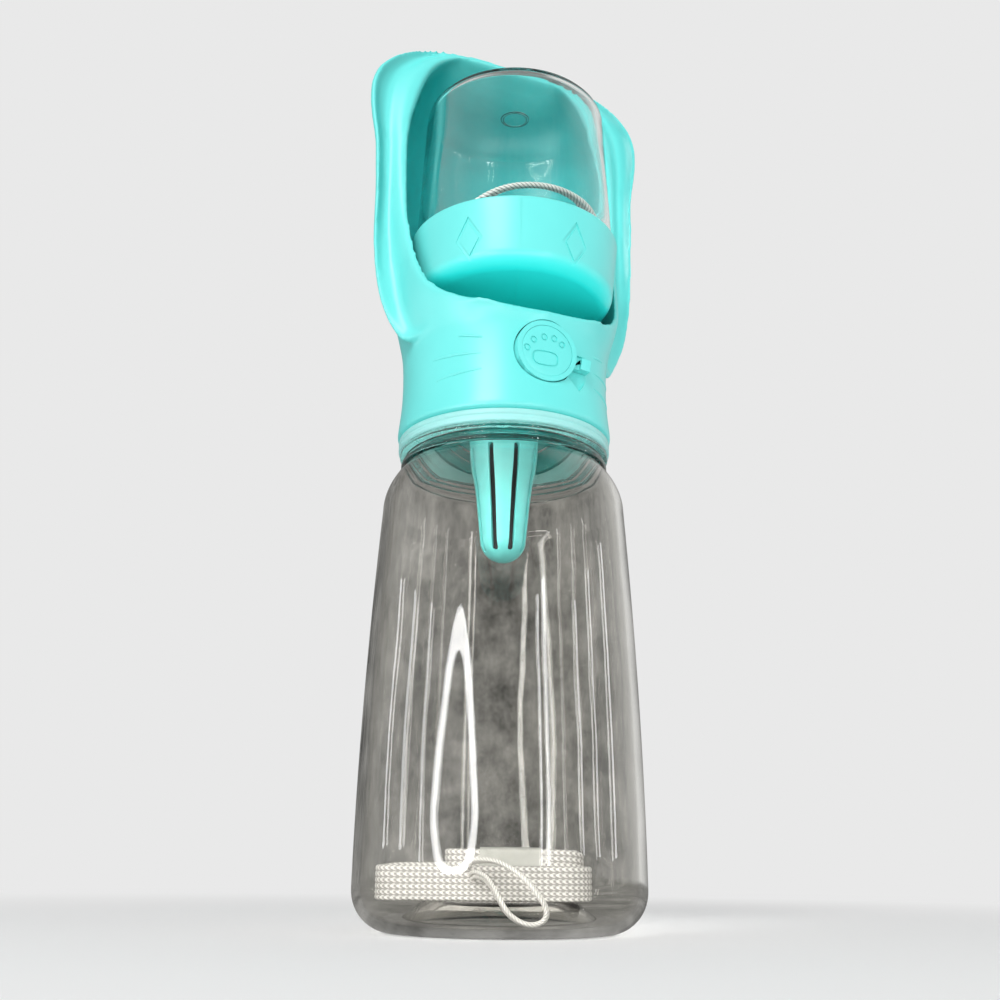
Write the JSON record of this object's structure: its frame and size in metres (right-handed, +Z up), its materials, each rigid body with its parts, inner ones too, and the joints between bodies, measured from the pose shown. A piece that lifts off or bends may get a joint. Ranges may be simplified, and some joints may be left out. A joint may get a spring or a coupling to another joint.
{
  "type": "dog travel water bottle",
  "caption": "Upright travel drinking bottle with a bowl-shaped head, cat ears, lock button, hanging filter and a lidded food cup stored in the bowl.",
  "frame": {"origin": "centre of the foot ring, on the ground under the bottle's axis", "axes": "+Z up along the bottle's axis, -Y towards the drinking side with the button, +X to the right seen from the front"},
  "size_m": [0.09, 0.0752, 0.2544],
  "materials": {
    "clear_plastic": "clear polished plastic, slightly smoke grey",
    "teal_plastic": "satin moulded turquoise plastic",
    "white_plastic": "natural acetal",
    "silicone": "milky translucent silicone",
    "rubber": "black rubber",
    "steel": "bright stainless wire and stamping",
    "carbon": "pressed carbon granules",
    "braid": "grey-white braided polyester",
    "tape": "thin translucent tape"
  },
  "bodies": {
    "bottle": {"bottle_body": "clear_plastic", "wrist_strap": "braid", "strap_cord": "braid", "strap_band": "tape"},
    "seal": {"neck_seal": "silicone"},
    "head": {"head_shell": "teal_plastic", "screw_collar": "teal_plastic", "valve_body": "teal_plastic", "valve_gasket": "rubber", "plunger_spring": "steel"},
    "lock": {"lock_ring": "teal_plastic"},
    "button": {"paw_button": "teal_plastic", "valve_plunger": "white_plastic", "plunger_seals": "rubber", "plunger_clip": "steel"},
    "filter": {"filter_basket": "teal_plastic", "filter_core": "carbon"},
    "cup": {"food_cup": "clear_plastic"},
    "lid": {"food_cup_lid": "teal_plastic", "lid_seal": "silicone", "cup_cord": "braid"}
  },
  "joints": [
    {"name": "head_lift", "type": "slide", "parent": "bottle", "child": "seal", "axis": [0, 0, 1], "range_m": [0, 0.0061]},
    {"name": "head_turn", "type": "hinge", "parent": "seal", "child": "head", "pos_m": [0, 0, 0.13], "axis": [0, 0, 1], "range_deg": [0, 540]},
    {"name": "lock_swing", "type": "hinge", "parent": "head", "child": "lock", "pos_m": [0, 0, 0.148], "axis": [0, 1, 0], "range_deg": [0, 20]},
    {"name": "button_press", "type": "slide", "parent": "head", "child": "button", "axis": [0, 1, 0], "range_m": [0, 0.0035], "stiffness_N_per_m": 400, "deforming": ["plunger_spring"]},
    {"name": "filter_turn", "type": "hinge", "parent": "head", "child": "filter", "pos_m": [0, 0, 0.13], "axis": [0, 0, 1], "range_deg": [0, 45]},
    {"name": "cup_out", "type": "slide", "parent": "head", "child": "cup", "axis": [0, -0.9659, 0.2588], "range_m": [0, 0.07]},
    {"name": "lid_turn", "type": "hinge", "parent": "cup", "child": "lid", "pos_m": [0, -0.0065, 0.18], "axis": [0, 0, 1], "range_deg": [0, 90]}
  ],
  "couplings": [
    {"joint": "head_lift", "follows": "head_turn", "m_per_rad": 0.00063662}
  ]
}
